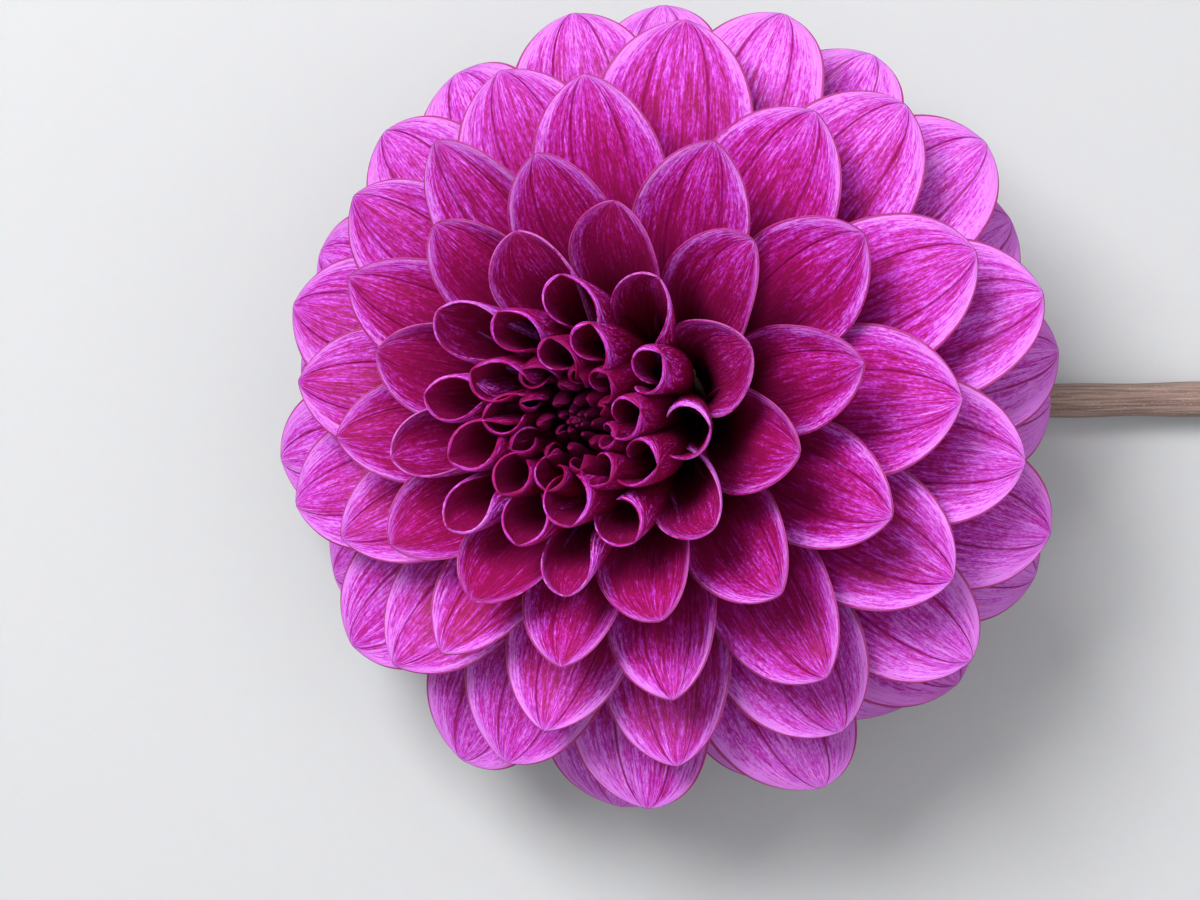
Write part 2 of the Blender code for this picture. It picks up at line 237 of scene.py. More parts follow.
@dataclass(frozen=True)
class PetalFinish:
    """The streaked surface of a floret, from its crimson throat, deepened by painted shade, to its
    orchid tip.

    A range is the two values between which something sets in. Where a range is of the age, 0 is the
    bud at the centre and 1 the last floret; along a floret, 0 is its seat and 1 its tip. A margin is
    measured from the rim, in millimetres."""

    side: Side
    # throat: the florets' deep crimson, made darker still as painted shade inside their throats.
    throat: Colour = (0.150, 0.0004, 0.034)
    crimson: Colour = (0.190, 0.0004, 0.040)
    wine: Colour = (0.340, 0.0020, 0.110)
    magenta: Colour = (0.380, 0.0030, 0.215)
    # orchid and lavender: the florets' own pale colours, made bluer as a painted sheen.
    orchid: Colour = (0.560, 0.050, 0.720)
    lavender: Colour = (0.800, 0.290, 1.000)
    edge: Colour = (0.200, 0.001, 0.065)
    # bud: near-black painted shade over the deep crimson of the recessed centre.
    bud: Colour = (0.022, 0.0008, 0.014)
    dusk: Colour = (0.200, 0.006, 0.075)
    roughness: float = 0.5
    streak_grain: Colour = (2.1, 0.20, 1.0)
    broad_grain: Colour = (0.30, 0.05, 1.0)
    fleck_grain: Colour = (3.8, 1.3, 1.0)
    vein_grain: Colour = (5.0, 0.18, 1.0)
    magenta_age: Range = (0.42, 0.70)
    crimson_gone: Range = (0.00, 0.30)
    orchid_in: Range = (0.25, 0.60)
    lavender_and_sheen_in: Range = (0.50, 0.95)
    crease_place: float = 0.40
    crease_width: float = 0.036
    crease_along: Range = (0.30, 0.62)
    crease_age: Range = (0.38, 0.60)
    vein_share: float = 0.38
    throat_shade_along: Range = (0.10, 0.52)
    bud_shade_age: Range = (0.09, 0.34)
    rim_line: Range = (0.05, 0.34)
    rim_age: Range = (0.36, 0.50)
    back_dulling: float = 0.45
    bump_depth: float = 0.00025

    def paleness(self, bench: NodeBench, streaks: Wire) -> Wire:
        """How far the colour has gone from crimson to lavender, from about 0 to 1.

        Args:
            bench: The finish's node tree.
            streaks: The noise of the streaks.

        Returns:
            The sum of what makes a place paler.
        """
        age = bench.attribute("age")
        along = bench.attribute("along")
        broad = bench.noise("grain", self.broad_grain, 2.0)
        flecks = bench.noise("grain", self.fleck_grain, 3.0, 0.7)
        # Paler margins: partly the florets' own pale rims, partly a painted highlight on the curled
        # rims.
        rim_paleness_and_highlight = 1.0 - bench.attribute("margin").between(0.2, 2.8)
        outer_panel = abs(bench.attribute("across")).between(0.34, 0.95) - 0.4
        streaked = along.between(0.10, 0.65) * (0.4 + 0.6 * age.between(0.2, 0.42))
        pale = (
            (age - 0.35) * 1.62
            + rim_paleness_and_highlight * 0.42 * (flecks + streaks) * age.between(0.33, 0.5)
            + (along.between(0.35, 1.05) - 0.6) * 0.70
            + outer_panel * along.between(0.35, 0.75) * 0.24
            + (streaks - 0.5) * 2.5 * streaked
            + (broad - 0.5) * 0.8
            + (flecks - 0.5) * 2.0 * along.between(0.3, 0.8)
            + (bench.attribute("tone") - 0.5) * 0.14
        )
        return pale * 0.75 - 0.02 if self.side is Side.BACK else pale

    def creases(self, bench: NodeBench) -> Wire:
        """Two dark lines along the floret, one each side of its middle."""
        off_line = abs(abs(bench.attribute("across")) - self.crease_place)
        line = (1.0 - (off_line / self.crease_width).clamped()) ** 1.5
        length = bench.attribute("along").between(*self.crease_along)
        return line * length * bench.attribute("age").between(*self.crease_age)

    def material(self) -> bpy.types.Material:
        """Makes the material."""
        bench = NodeBench(f"petal_{self.side.value}", self.roughness)
        age = bench.attribute("age")
        streaks = bench.noise("grain", self.streak_grain, 5.0, 0.65)
        veins = bench.noise("grain", self.vein_grain, 2.0)
        pale = self.paleness(bench, streaks)
        creases = self.creases(bench)
        grown = bench.mix(age.between(*self.magenta_age), self.wine, self.magenta)
        colour = bench.mix(pale.between(*self.crimson_gone), self.crimson, grown)
        colour = bench.mix(pale.between(*self.orchid_in), colour, self.orchid)
        # The palest places take lavender, with its painted bluish sheen.
        colour = bench.mix(pale.between(*self.lavender_and_sheen_in), colour, self.lavender)
        if self.side is Side.BACK:
            colour = bench.mix(self.back_dulling, colour, self.dusk)
        colour = bench.mix(creases * 0.95, colour, self.edge)
        vein_lines = (veins - 0.48).between(0.0, 0.20)
        colour = bench.mix(vein_lines * self.vein_share, colour, self.crimson)
        # Painted shade: the throat darkens towards the floret's seat.
        throat = 1.0 - bench.attribute("along").between(*self.throat_shade_along)
        colour = bench.mix(throat * 0.8, colour, self.throat)
        # Painted shade: the young florets of the centre go almost black.
        colour = bench.mix((1.0 - age.between(*self.bud_shade_age)) * 0.92, colour, self.bud)
        line = 1.0 - bench.attribute("margin").between(*self.rim_line)
        line = line * (0.55 + 0.35 * age.between(*self.rim_age))
        colour = bench.mix(line, colour, self.edge)
        height = veins * 0.5 + streaks * 0.5 - creases * 0.8
        bench.finish(colour, height, self.bump_depth)
        return bench.material


@dataclass(frozen=True)
class StemFinish:
    """Brown skin with fine ridges and pale specks, and green where the head begins."""

    skin: Colour = (0.300, 0.200, 0.165)
    dark: Colour = (0.140, 0.088, 0.075)
    green: Colour = (0.170, 0.200, 0.085)
    pith: Colour = (0.560, 0.560, 0.400)
    roughness: float = 0.5
    sheen: float = 0.05
    ridge_grain: Colour = (2.6, 0.10, 1.0)
    speck_grain: Colour = (3.5, 2.0, 1.0)
    broad_grain: Colour = (0.4, 0.06, 1.0)
    green_along: Range = (0.02, 0.30)
    bump_depth: float = 0.0004

    def material(self) -> bpy.types.Material:
        """Makes the material."""
        bench = NodeBench("stem_skin", self.roughness, self.sheen)
        ridges = bench.noise("grain", self.ridge_grain, 4.0, 0.6)
        specks = bench.noise("grain", self.speck_grain, 3.0, 0.7)
        broad = bench.noise("grain", self.broad_grain, 2.0)
        colour = bench.mix(ridges.between(0.35, 0.68), self.dark, self.skin)
        colour = bench.mix((specks - 0.6).between(0.0, 0.12) * 0.5, colour, self.pith)
        young = 1.0 - bench.attribute("along").between(*self.green_along)
        green = young * 0.8 + (broad - 0.5) * 0.5
        colour = bench.mix(green.clamped(), colour, self.green)
        colour = bench.mix(bench.attribute("inside"), colour, self.pith)
        bench.finish(colour, ridges + specks * 0.4, self.bump_depth)
        return bench.material


@dataclass(frozen=True)
class LeafFinish:
    """A bract's or the receptacle's green, veined along its length, with a rim of another colour
    that on the receptacle is painted shade.
    """

    name: str
    green: Colour
    dark: Colour
    edge: Colour
    roughness: float = 0.55
    sheen: float = 0.1
    vein_grain: Colour = (2.2, 0.16, 1.0)
    mottle_grain: Colour = (0.7, 0.5, 1.0)
    rim: Range = (0.15, 0.8)
    tip_along: Range = (0.75, 1.0)
    bump_depth: float = 0.0003

    def material(self) -> bpy.types.Material:
        """Makes the material."""
        bench = NodeBench(self.name, self.roughness, self.sheen)
        veins = bench.noise("grain", self.vein_grain, 4.0, 0.6)
        mottle = bench.noise("grain", self.mottle_grain, 3.0)
        rim = 1.0 - bench.attribute("margin").between(*self.rim)
        colour = bench.mix(veins.between(0.34, 0.66), self.dark, self.green)
        colour = bench.mix((mottle - 0.5).between(0.0, 0.3) * 0.5, colour, self.edge)
        colour = bench.mix(rim * 0.7, colour, self.edge)
        tip = bench.attribute("along").between(*self.tip_along)
        colour = bench.mix(tip * 0.5, colour, self.edge)
        bench.finish(colour, veins + mottle * 0.3, self.bump_depth)
        return bench.material


@dataclass(frozen=True)
class FloorFinish:
    """A plain pale surface."""

    colour: Colour = (0.40, 0.40, 0.40)
    roughness: float = 0.8

    def material(self) -> bpy.types.Material:
        """Makes the material."""
        bench = NodeBench("pale_floor", self.roughness)
        bench.surface.inputs["Base Color"].default_value = (*self.colour, 1.0)
        return bench.material


PALE_BRACT = LeafFinish("bract_pale", (0.45, 0.47, 0.20), (0.27, 0.32, 0.10), (0.52, 0.36, 0.26))
GREEN_BRACT = LeafFinish("bract_green", (0.17, 0.26, 0.06), (0.08, 0.14, 0.03), (0.28, 0.17, 0.10))
# The receptacle's edge colour is near-black painted shade that darkens its top between the floret
# seats.
RECEPTACLE_SKIN = LeafFinish(
    "receptacle_skin", (0.36, 0.40, 0.17), (0.24, 0.29, 0.10), (0.05, 0.003, 0.015)
)


# ---- ways of working ----


def pick_only(piece: bpy.types.Object) -> None:
    """Selects one object and makes it the active one."""
    bpy.ops.object.select_all(action="DESELECT")
    piece.select_set(True)
    bpy.context.view_layer.objects.active = piece


def apply_modifier(piece: bpy.types.Object, name: str, kind: str, **settings: object) -> None:
    """Adds a modifier, sets it and applies it.

    Args:
        piece: The object it works on.
        name: The modifier's name.
        kind: Its type.
        settings: Its settings by name.
    """
    modifier = piece.modifiers.new(name, kind)
    for key, value in settings.items():
        setattr(modifier, key, value)
    pick_only(piece)
    bpy.ops.object.modifier_apply(modifier=name)


def places(mesh: bpy.types.Mesh) -> Array:
    """The mesh's vertices as rows of three numbers."""
    flat = np.empty(len(mesh.vertices) * 3)
    mesh.vertices.foreach_get("co", flat)
    return flat.reshape(-1, 3)


def hold(mesh: bpy.types.Mesh, name: str, values: Array) -> None:
    """Stores a number or a vector for each vertex under a name."""
    vector = values.ndim == 2
    held = mesh.attributes.new(name, "FLOAT_VECTOR" if vector else "FLOAT", "POINT")
    held.data.foreach_set("vector" if vector else "value", values.astype(np.float32).ravel())


def unit(steps: Array) -> Array:
    """Rows brought to length 1."""
    return steps / np.linalg.norm(steps, axis=1)[:, None]


def run_of(line: Array) -> Array:
    """How far along a line of points each of them is."""
    return np.concatenate([[0], np.cumsum(np.linalg.norm(np.diff(line, axis=0), axis=1))])


def read_off(table: Array, run: Array, where: Array) -> Array:
    """Rows of a table at distances that fall between its own.

    Args:
        table: One row for each distance in run.
        run: The table's distances, rising.
        where: The distances to read at.

    Returns:
        One row for each of them.
    """
    return np.stack([np.interp(where, run, column) for column in table.T], axis=1)


def face_out(piece: bpy.types.Object) -> None:
    """Turns every face outwards and shades the piece smooth, but for its sharp edges."""
    pick_only(piece)
    bpy.ops.object.mode_set(mode="EDIT")
    bpy.ops.mesh.select_all(action="SELECT")
    bpy.ops.mesh.normals_make_consistent(inside=False)
    bpy.ops.object.mode_set(mode="OBJECT")
    bpy.ops.object.shade_smooth_by_angle(angle=SHARP)


def hand_over(piece: bpy.types.Object, slot: str, nodes: Iterable[str]) -> None:
    """Lets a finished piece ride on the body and stand for its nodes, which it hides."""
    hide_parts(*nodes)
    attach(piece, BODY)


@dataclass
class Head:
    """Where the head lies, and the spiral that its florets follow."""

    centre: Vector = field(default_factory=lambda: Vector((-0.0487, -0.0009, 0.0430)))
    tilt: float = math.radians(18.0)
    side_lean: float = math.radians(3.0)
    florets: int = 140
    divergence: float = math.radians(137.78)
    first_angle: float = math.radians(203.6)
    radius: float = 0.0570
    dome_height: float = 0.0430
    dome_power: float = 2.3
    centre_dip: float = 0.0127
    dip_radius: float = 0.0085
    last_on_dome: int = 100
    last_dome_angle: float = math.radians(73.2)
    tip_power: float = 2.1
    back_step: float = 0.0010
    back_turn: float = math.radians(1.75)
    receptacle_radius: float = 0.0115
    receptacle_top: float = 0.008
    receptacle_depth: float = 0.028
    seat_gap: float = 0.0006
    floor_room: float = 0.0016

    def in_place(self) -> Matrix:
        """The tilt and lift that take the head's own frame to where the head lies."""
        tilt = Matrix.Rotation(-self.tilt, 4, "Y") @ Matrix.Rotation(self.side_lean, 4, "X")
        return Matrix.Translation(self.centre) @ tilt

    def angle(self, number: float) -> float:
        """A floret's direction round the axis."""
        return self.first_angle + self.divergence * number

    def tip(self, number: float) -> Array:
        """Radius and height of a floret's tip."""
        share = min(number, self.last_on_dome) / self.last_on_dome
        radius = self.radius * math.sin(self.last_dome_angle * share**self.tip_power)
        height = self.dome_height * (1 - (radius / self.radius) ** self.dome_power)
        height -= self.centre_dip * math.exp(-((radius / self.dip_radius) ** 2))
        slope = self.dome_power * self.dome_height / self.radius
        slope = math.atan(slope * (radius / self.radius) ** (self.dome_power - 1))
        for _ in range(self.last_on_dome, int(number)):
            slope += self.back_turn
            radius += self.back_step * math.cos(slope)
            height -= self.back_step * math.sin(slope)
        return np.array([radius, height])

    def seat(self, number: float) -> Array:
        """Radius and height of a floret's seat, just off the receptacle."""
        share = number / self.florets
        radius = self.receptacle_radius * math.sqrt(share)
        height = self.receptacle_top - self.receptacle_depth * share
        fall = 2 * self.receptacle_depth * radius / self.receptacle_radius**2
        normal = np.array([fall, 1.0]) / math.hypot(fall, 1.0)
        return np.array([radius, height]) + self.seat_gap * normal

    def carry(self, points: Array, angle: float) -> Array:
        """Turns points round the axis, tilts and lifts them, and keeps low ones above the floor.

        Args:
            points: Rows of three numbers in the head's own frame.
            angle: The turn round the axis.

        Returns:
            The points where the head lies.
        """
        matrix = np.array(self.in_place() @ Matrix.Rotation(angle, 4, "Z"))
        moved = points @ matrix[:3, :3].T + matrix[:3, 3]
        low = moved[:, 2] < self.floor_room
        pressed = self.floor_room * np.exp((moved[low, 2] - self.floor_room) / self.floor_room)
        moved[low, 2] = pressed
        return moved


@dataclass
class Spine:
    """A line in the plane of radius and height that a sheet is bent along."""

    start: Array
    end: Array
    leaves: float
    arrives: float
    reach: float = 0.4
    samples: int = 120

    def __post_init__(self) -> None:
        """Works out places and directions along the line, and its length."""
        hook = self.reach * float(np.linalg.norm(self.end - self.start))
        ends = [math.radians(self.leaves), math.radians(self.arrives)]
        first, last = (np.array([math.cos(angle), math.sin(angle)]) * hook for angle in ends)
        hooks = [self.start, self.start + first, self.end - last, self.end]
        t = np.linspace(0, 1, self.samples)[:, None]
        blend = [(1 - t) ** 3, 3 * t * (1 - t) ** 2, 3 * t**2 * (1 - t), t**3]
        self.points = sum(share * point for share, point in zip(blend, hooks))
        run = run_of(self.points)
        self.length = float(run[-1])
        self.shares = run / self.length
        self.steps = unit(np.gradient(self.points, axis=0))

    def at(self, share: Array) -> tuple[Array, Array]:
        """Places and unit steps at shares of the length."""
        point = read_off(self.points, self.shares, share)
        return point, unit(read_off(self.steps, self.shares, share))


@dataclass
class Sheet:
    """A thin leaf-like piece: a flat blank bent along a spine and rolled across it.

    Places along it go from 0 at the seat to 1 at the tip, and places across from -1 to 1. A curl is
    the angle that a margin turns through from the middle, in radians."""

    name: str
    spine: Spine
    half_width: float
    widest: float
    curl: float
    throat_curl: float = 0.4
    opens: float = 0.4
    filled: float = 1.0
    claw: float = 0.0011
    claw_curl: float = 0.4
    blunt: float = 0.70
    pinch: float = 0.0
    roll_power: float = 1.0
    lopsided: float = 0.0
    twist: float = 0.0
    mouth: float = 1.0
    crease: float = 0.0
    crown: float = 0.0
    wave: float = 0.0
    wave_turn: float = 0.0
    thickness: float = 0.00032
    across: int = 12
    along: int = 26
    crowding: float = 1.35
    tip_width: float = 0.00012
    pinch_run: float = 0.035
    mouth_power: float = 0.9
    opening_run: float = 0.4
    claw_run: float = 0.35
    turn_steps: int = 24
    crease_place: float = 0.40
    crease_width: float = 0.07
    relief_along: Range = (0.25, 0.6)
    ripples: float = 9.0
    ripple_offset: float = 1.3
    ripple_power: int = 3
    twist_power: float = 1.5

    def outline(self, share: Array) -> Array:
        """Half width along the sheet: a narrow claw, a swell and a pointed end."""
        rising = smooth(0.0, self.filled * self.widest, share)
        falling = np.clip((share - self.widest) / (1 - self.widest), 0, 1)
        swell = rising * (1 - falling**2) ** self.blunt
        swell = swell * (1 - self.pinch * np.exp((share - 1) / self.pinch_run))
        wide = self.claw * (1 - rising) + self.half_width * swell
        return np.maximum(wide, self.tip_width)

    def blank(self) -> bpy.types.Object:
        """Adds the flat grid that the sheet is shaped from."""
        bpy.ops.object.select_all(action="DESELECT")
        bpy.ops.mesh.primitive_grid_add(
            x_subdivisions=self.across, y_subdivisions=self.along, size=2.0, calc_uvs=True
        )
        piece = bpy.context.object
        piece.name = piece.data.name = self.name
        return piece

    def margin_turn(self, t: Array, share: Array, wide: Array) -> Array:
        """The curl at each vertex: tight in the throat, slack at the claw.

        Args:
            t: Place across.
            share: Place along.
            wide: Half width there.

        Returns:
            The angle through which that side's margin turns.
        """
        mouth = self.mouth * (wide / self.half_width) ** self.mouth_power
        shut = 1 - smooth(self.opens, self.opens + self.opening_run, share)
        full = self.curl * ((1 - self.mouth) + mouth)
        full = full + max(0.0, self.throat_curl - self.curl) * shut
        base = 1 - smooth(0.0, self.claw_run, share)
        curl = full * (1 - base) + min(self.claw_curl, self.curl) * base
        return curl * (1 + self.lopsided * np.sign(t))

    def relief(self, t: Array, share: Array, wide: Array) -> Array:
        """The relief of the surface: two creases, a raised middle and a wavy rim.

        Args:
            t: Place across.
            share: Place along.
            wide: Half width there.

        Returns:
            The rise of each vertex.
        """
        off_line = (np.abs(t) - self.crease_place) / self.crease_width
        ripple = np.sin(share * self.ripples + np.sign(t) * self.ripple_offset + self.wave_turn)
        rise = self.crown * np.cos(np.clip(t / self.crease_place, -1, 1) * math.pi / 2)
        rise -= self.crease * np.exp(-(off_line**2))
        rise += self.wave * ripple * np.abs(t) ** self.ripple_power
        return rise * smooth(*self.relief_along, share) * (wide / self.half_width)

    def rolled(self, t: Array, share: Array, wide: Array) -> tuple[Array, Array]:
        """Sideways place and rise of each vertex of the cross section.

        Args:
            t: Place across.
            share: Place along.
            wide: Half width there.

        Returns:
            The place sideways and the rise towards the axis.
        """
        curl = self.margin_turn(t, share, wide)
        steps = (np.arange(self.turn_steps) + 0.5) / self.turn_steps
        turn = curl[:, None] * (np.abs(t)[:, None] * steps) ** self.roll_power
        side = wide * t * np.cos(turn).mean(axis=1)
        rise = wide * np.abs(t) * np.sin(turn).mean(axis=1) + self.relief(t, share, wide)
        turned = self.twist * share**self.twist_power
        return (
            side * np.cos(turned) - rise * np.sin(turned),
            rise * np.cos(turned) + side * np.sin(turned),
        )

    def shape(self, piece: bpy.types.Object, carry: Callable[[Array], Array]) -> None:
        """Bends the blank and stores what its finish reads.

        Args:
            piece: The blank.
            carry: What takes points from the sheet's frame to where it lies.
        """
        mesh = piece.data
        flat = places(mesh)
        t = flat[:, 0]
        share = 1 - (1 - (flat[:, 1] + 1) / 2) ** self.crowding
        wide = self.outline(share)
        side, rise = self.rolled(t, share, wide)
        point, step = self.spine.at(share)
        bent = np.stack(
            [point[:, 0] - rise * step[:, 1], side, point[:, 1] + rise * step[:, 0]], axis=1
        )
        mesh.vertices.foreach_set("co", carry(bent).ravel())
        hold(mesh, "across", t)
        hold(mesh, "along", share)
        hold(mesh, "margin", (1 - np.abs(t)) * wide / MILLIMETRE)
        lengthwise = share * self.spine.length / MILLIMETRE
        grain = [t * self.half_width / MILLIMETRE, lengthwise, np.zeros_like(t)]
        hold(mesh, "grain", np.stack(grain, axis=1))
        mesh.update()

    def thicken(self, piece: bpy.types.Object, materials: list[bpy.types.Material]) -> None:
        """Gives the sheet its wall and rounds it.

        Args:
            piece: The shaped blank.
            materials: The finish of the face, and that of the back where it differs.
        """
        for material in materials:
            piece.data.materials.append(material)
        back = len(materials) - 1
        apply_modifier(
            piece,
            "wall",
            "SOLIDIFY",
            thickness=self.thickness,
            offset=0.0,
            material_offset=back,
            material_offset_rim=0,
        )
        apply_modifier(
            piece, "round", "SUBSURF", levels=1, render_levels=1, boundary_smooth="PRESERVE_CORNERS"
        )
        bpy.ops.object.shade_smooth()


# ---- florets ----


@dataclass(frozen=True)
class Drift:
    """A value that changes from the bud to the last floret.

    Each change is an amount, and the two florets between which it sets in."""

    start: float
    changes: tuple[tuple[float, int, int], ...]

    def at(self, number: int) -> float:
        """The value for a floret."""
        value = self.start
        for amount, first, last in self.changes:
            value += amount * float(smooth(first, last, number))
        return value


@dataclass
class Florets:
    """The ray florets, from the rolled bud to the blades that bend back under the head.

    A scatter is the spread of the small differences between florets. Curls are in radians, and the
    angles at which florets leave and arrive are in degrees above the horizontal."""

    head: Head
    first_separate: int = 102
    seed: int = 11
    bud_half_width: float = 0.0019
    grown_half_width: float = 0.0088
    width_scale: float = 38.0
    width_power: float = 4.0
    width_change: Drift = Drift(0.0, ((0.0032, 75, 105), (-0.0020, 52, 60)))
    tube_curl: Drift = Drift(3.05, ((-1.6, 53, 66),))
    blade_curl: float = 0.34
    flattening: Range = (58, 88)
    leaves_first: float = 90.0
    leaves_fall: float = 95.0
    leaves_power: float = 1.7
    arrives: Drift = Drift(116.0, ((-24.0, 28, 48), (-44.0, 48, 68), (-50.0, 60, 104)))
    droop: float = 1.15
    widest: Drift = Drift(0.86, ((-0.20, *OPENING),))
    filled: Drift = Drift(0.62, ((0.30, *OPENING),))
    blunt: Drift = Drift(0.60, ((-0.12, 75, 115),))
    throat_curl: Drift = Drift(2.7, ((-2.1, 60, 100),))
    opens: Drift = Drift(0.58, ((-0.22, 54, 74),))
    claw: Drift = Drift(0.0011, ((0.0012, 35, 55),))
    pinch: Drift = Drift(0.0, ((0.3, *OPENING), (-0.1, 85, 115)))
    trough: Range = (50, 66)
    trough_ends: Range = (84, 104)
    trough_power: float = 0.5
    lopsided: Drift = Drift(0.14, ((-0.14, 52, 66),))
    mouth: Drift = Drift(0.0, ((1.0, 26, 38),))
    crease: Drift = Drift(0.0, ((0.00030, *OPENING),))
    crown: Drift = Drift(0.0, ((0.00045, *OPENING),))
    wave: Drift = Drift(0.0, ((0.0006, *OPENING),))
    length_scatter: Drift = Drift(0.008, ((0.005, *OPENING),))
    arrives_scatter: Drift = Drift(2.0, ((1.5, *OPENING),))
    curl_scatter: Drift = Drift(0.04, ((0.06, *OPENING),))
    twist_scatter: Drift = Drift(0.05, ((0.08, *OPENING),))
    width_scatter: float = 0.025
    lopsided_scatter: float = 0.05
    turn_scatter: float = 0.025
    coarse_below: int = 30
    coarse_grid: tuple[int, int] = (8, 16)
    grain_step: float = 7.31
    joined: tuple[tuple[str, int, int], ...] = (
        ("centre_florets", 1, 52),
        ("floret_whorl_1", 53, 68),
        ("floret_whorl_2", 69, 84),
        ("floret_whorl_3", 85, 101),
    )

    def half_width(self, number: int) -> float:
        """Half the flat width of a floret where it is widest."""
        grown = 1 - math.exp(-((number / self.width_scale) ** self.width_power))
        return self.bud_half_width + self.grown_half_width * grown + self.width_change.at(number)

    def curl(self, number: int) -> float:
        """How far a floret's margins turn in where it is widest."""
        cup = self.tube_curl.at(number)
        return cup + (self.blade_curl - cup) * float(smooth(*self.flattening, number))

    def roll_power(self, number: int) -> float:
        """Over 1 where the turn of a floret's margins lies mostly near its rim."""
        deep = float(smooth(*self.trough, number)) * (1 - float(smooth(*self.trough_ends, number)))
        return 1.0 + self.trough_power * deep

    def directions(self, number: int) -> tuple[float, float]:
        """The angles above the horizontal at which a floret leaves its seat and reaches its tip."""
        share = number / self.head.florets
        leaves = self.leaves_first - self.leaves_fall * share**self.leaves_power
        past_dome = max(0, number - self.head.last_on_dome)
        return leaves, self.arrives.at(number) - self.droop * past_dome

    def sheet(self, number: int, chance: np.random.Generator) -> Sheet:
        """A floret's form.

        Args:
            number: Its place on the spiral.
            chance: The source of small differences.

        Returns:
            The sheet, still without a mesh.
        """
        leaves, arrives = self.directions(number)
        start, end = self.head.seat(number), self.head.tip(number)
        end = end + (end - start) * chance.normal(0, self.length_scatter.at(number))
        arrives += chance.normal(0, self.arrives_scatter.at(number))
        return Sheet(
            name=f"floret_{number:03}",
            spine=Spine(start, end, leaves, arrives),
            half_width=self.half_width(number) * (1 + chance.normal(0, self.width_scatter)),
            widest=self.widest.at(number),
            filled=self.filled.at(number),
            curl=self.curl(number) * (1 + chance.normal(0, self.curl_scatter.at(number))),
            blunt=self.blunt.at(number),
            throat_curl=self.throat_curl.at(number),
            opens=self.opens.at(number),
            claw=self.claw.at(number),
            pinch=self.pinch.at(number),
            roll_power=self.roll_power(number),
            lopsided=chance.normal(0, self.lopsided_scatter) + self.lopsided.at(number),
            twist=chance.normal(0, self.twist_scatter.at(number)),
            mouth=self.mouth.at(number),
            crease=self.crease.at(number),
            crown=self.crown.at(number),
            wave=self.wave.at(number),
            wave_turn=chance.uniform(0, FULL_WAVE),
        )

    def node(self, number: int) -> str:
        """The name of the node that a floret stands for."""
        for name, first, last in self.joined:
            if first <= number <= last:
                return name
        return f"ray_floret_{number:03}"

    def slot(self, number: int) -> str:
        """The record's slot of a floret."""
        if number <= self.joined[0][2]:
            return "floret_crimson"
        return "floret_magenta" if number < self.first_separate else "floret_orchid"

    def build(self) -> None:
        """Makes every floret."""
        finishes = [PetalFinish(side).material() for side in (Side.FACE, Side.BACK)]
        for number in range(1, self.head.florets + 1):
            chance = np.random.default_rng([self.seed, number])
            sheet = self.sheet(number, chance)
            if number < self.coarse_below:
                sheet.across, sheet.along = self.coarse_grid
            piece = sheet.blank()
            turn = self.head.angle(number) + chance.normal(0, self.turn_scatter)
            sheet.shape(piece, lambda points: self.head.carry(points, turn))
            count = len(piece.data.vertices)
            hold(piece.data, "age", np.full(count, number / self.head.florets))
            hold(piece.data, "tone", np.full(count, chance.uniform()))
            self.shift_grain(piece.data, self.grain_step * number)
            sheet.thicken(piece, finishes)
            hand_over(piece, self.slot(number), [self.node(number)])
        LOG.info("florets: %d", self.head.florets)

    @staticmethod
    def shift_grain(mesh: bpy.types.Mesh, amount: float) -> None:
        """Gives each floret a pattern of its own."""
        held = mesh.attributes["grain"].data
        values = np.empty(len(held) * 3, np.float32)
        held.foreach_get("vector", values)
        values[2::3] += amount
        held.foreach_set("vector", values)


@dataclass
class BractRing:
    """A ring of bracts under the florets."""

    name: str
    count: int
    start: tuple[float, float]
    end: tuple[float, float]
    leaves: float
    arrives: float
    half_width: float
    curl: float
    place: float
    finish: LeafFinish
    slot: str
    end_scatter: float = 0.0005
    curl_scatter: float = 0.1
    widest: float = 0.5
    claw_share: float = 0.55
    blunt: float = 0.8
    crease: float = 0.0002
    wave: float = 0.0003
    thickness: float = 0.0005
    grid: tuple[int, int] = (8, 16)

    def sheet(self, index: int) -> Sheet:
        """The form of one bract, still without a mesh."""
        chance = np.random.default_rng([self.count, index])
        end = np.array(self.end) + chance.normal(0, self.end_scatter, 2)
        return Sheet(
            name=f"{self.name}_piece_{index + 1}",
            spine=Spine(np.array(self.start), end, self.leaves, self.arrives),
            half_width=self.half_width,
            widest=self.widest,
            curl=self.curl * (1 + chance.normal(0, self.curl_scatter)),
            claw=self.claw_share * self.half_width,
            blunt=self.blunt,
            crease=self.crease,
            wave=self.wave,
            wave_turn=chance.uniform(0, FULL_WAVE),
            thickness=self.thickness,
            across=self.grid[0],
            along=self.grid[1],
        )

    def build(self, head: Head) -> None:
        """Makes the ring's bracts."""
        material = self.finish.material()
        for index in range(self.count):
            sheet = self.sheet(index)
            piece = sheet.blank()
            turn = math.tau * (index + self.place) / self.count
            sheet.shape(piece, lambda points: head.carry(points, turn))
            sheet.thicken(piece, [material])
            hand_over(piece, self.slot, [f"{self.name}_{index + 1}"])
        LOG.info("%s: %d", self.name, self.count)


INNER_BRACTS = BractRing(
    name="inner_bract",
    count=8,
    start=(0.0104, -0.0221),
    end=(0.0290, -0.0268),
    leaves=-22,
    arrives=-4,
    half_width=0.0052,
    curl=0.35,
    place=0.3,
    finish=PALE_BRACT,
    slot="bract_pale",
)
OUTER_BRACTS = BractRing(
    name="outer_bract",
    count=5,
    start=(0.0062, -0.0250),
    end=(0.0205, -0.0335),
    leaves=-35,
    arrives=-15,
    half_width=0.0036,
    curl=0.5,
    place=0.5,
    finish=GREEN_BRACT,
    slot="bract_green",
)


# ---- turned and drawn-out pieces ----


